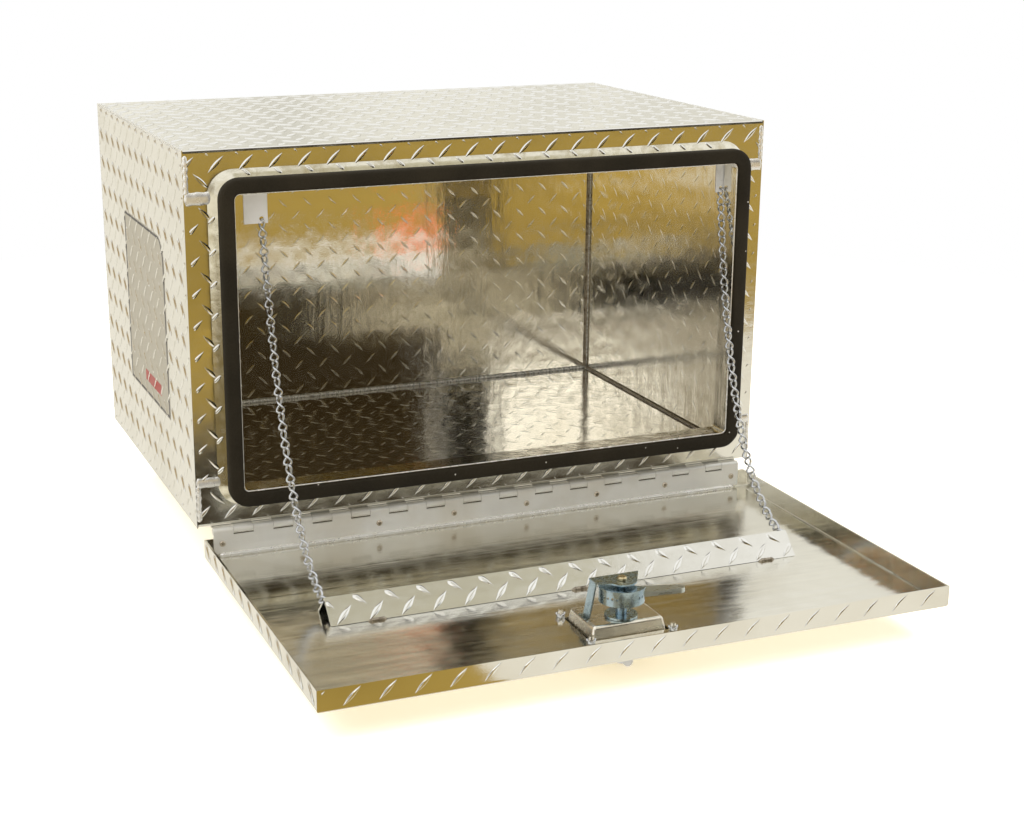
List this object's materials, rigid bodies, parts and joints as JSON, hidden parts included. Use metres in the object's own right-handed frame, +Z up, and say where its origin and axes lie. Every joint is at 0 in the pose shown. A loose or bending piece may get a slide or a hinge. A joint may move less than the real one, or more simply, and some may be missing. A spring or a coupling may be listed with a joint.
{
  "type": "underbody truck tool box",
  "caption": "Aluminium underbody tool box whose drop-down door hangs open on two chains, with a rubber seal, piano hinge, stiffening angle and folding tee-handle latch.",
  "frame": {"origin": "middle of the box's top face, where it is bolted under a truck bed", "axes": "+X to the right as seen from the front, +Y towards the back of the box, +Z up"},
  "size_m": [0.615, 0.7749, 0.4318],
  "materials": {
    "aluminium_body": "brushed aluminium sheet, polished on the front",
    "aluminium_door": "polished aluminium sheet",
    "aluminium_bracket": "satin aluminium sheet",
    "black_rubber": "matt black rubber",
    "hinge_steel": "stainless steel hinge strip",
    "rivet_aluminium": "satin rivet",
    "latch_steel": "pressed stainless steel",
    "zinc_plate": "bluish zinc plate",
    "brass_screw": "yellow passivated screw",
    "chain_zinc": "zinc plated wire",
    "handle_steel": "polished stainless steel"
  },
  "bodies": {
    "box": {"body_wrap": "aluminium_body", "end_panel_left": "aluminium_body", "end_panel_right": "aluminium_body", "door_seal": "black_rubber", "chain_bracket_left": "aluminium_bracket", "chain_bracket_right": "aluminium_bracket", "hinge_leaf_box": "hinge_steel", "hinge_pin": "hinge_steel", "hinge_rivet_box_1": "rivet_aluminium", "hinge_rivet_box_2": "rivet_aluminium", "hinge_rivet_box_3": "rivet_aluminium", "hinge_rivet_box_4": "rivet_aluminium", "hinge_rivet_box_5": "rivet_aluminium", "hinge_rivet_box_6": "rivet_aluminium", "hinge_rivet_box_7": "rivet_aluminium", "hinge_rivet_box_8": "rivet_aluminium"},
    "door": {"door_panel": "aluminium_door", "stiffener_angle": "aluminium_door", "hinge_leaf_door": "hinge_steel", "hinge_rivet_door_1": "rivet_aluminium", "hinge_rivet_door_2": "rivet_aluminium", "hinge_rivet_door_3": "rivet_aluminium", "hinge_rivet_door_4": "rivet_aluminium", "hinge_rivet_door_5": "rivet_aluminium", "hinge_rivet_door_6": "rivet_aluminium", "hinge_rivet_door_7": "rivet_aluminium", "hinge_rivet_door_8": "rivet_aluminium", "latch_dish": "latch_steel", "latch_gasket": "black_rubber", "latch_nut_1": "zinc_plate", "latch_nut_2": "zinc_plate", "latch_nut_3": "zinc_plate", "latch_nut_4": "zinc_plate", "latch_bridge": "zinc_plate"},
    "latch_rotor": {"latch_shaft": "latch_steel", "latch_disc": "zinc_plate", "latch_arm": "zinc_plate", "latch_cam": "zinc_plate", "latch_screw": "brass_screw", "handle_pin": "handle_steel"},
    "handle": {"tee_handle": "handle_steel"},
    "lock_plug": {"lock_plug": "brass_screw"},
    "upper_chain_left": {"chain_upper_left": "chain_zinc"},
    "upper_chain_right": {"chain_upper_right": "chain_zinc"},
    "lower_chain_left": {"chain_lower_left": "chain_zinc"},
    "lower_chain_right": {"chain_lower_right": "chain_zinc"}
  },
  "joints": [
    {"name": "door_hinge", "type": "hinge", "parent": "box", "child": "door", "pos_m": [0, -0.2052, -0.372], "axis": [-1, 0, 0], "range_deg": [0, 90]},
    {"name": "latch_turn", "type": "hinge", "parent": "door", "child": "latch_rotor", "pos_m": [0, -0.5062, -0.3867], "axis": [0, 0, -1], "range_deg": [0, 79]},
    {"name": "handle_fold", "type": "hinge", "parent": "latch_rotor", "child": "handle", "pos_m": [0.002, -0.5062, -0.399], "axis": [0, 1, 0], "range_deg": [0, 90]},
    {"name": "key_turn", "type": "hinge", "parent": "handle", "child": "lock_plug", "pos_m": [0.002, -0.5062, -0.4312], "axis": [0, 0, -1], "range_deg": [0, 90]},
    {"name": "chain_upper_swing_left", "type": "hinge", "parent": "box", "child": "upper_chain_left", "pos_m": [-0.232, -0.19987, -0.0695], "axis": [1, 0, 0], "range_deg": [0, 20]},
    {"name": "chain_lower_swing_left", "type": "hinge", "parent": "door", "child": "lower_chain_left", "pos_m": [-0.2366, -0.38774, -0.38376], "axis": [-1, 0, 0], "range_deg": [0, 45]},
    {"name": "chain_upper_swing_right", "type": "hinge", "parent": "box", "child": "upper_chain_right", "pos_m": [0.2605, -0.19987, -0.0695], "axis": [1, 0, 0], "range_deg": [0, 20]},
    {"name": "chain_lower_swing_right", "type": "hinge", "parent": "door", "child": "lower_chain_right", "pos_m": [0.2366, -0.38774, -0.38376], "axis": [-1, 0, 0], "range_deg": [0, 45]}
  ],
  "couplings": [
    {"joint": "chain_upper_swing_left", "follows": "door_hinge", "ratio": 0.22114},
    {"joint": "chain_lower_swing_left", "follows": "door_hinge", "ratio": 0.3596},
    {"joint": "chain_upper_swing_right", "follows": "door_hinge", "ratio": 0.22114},
    {"joint": "chain_lower_swing_right", "follows": "door_hinge", "ratio": 0.3596}
  ]
}
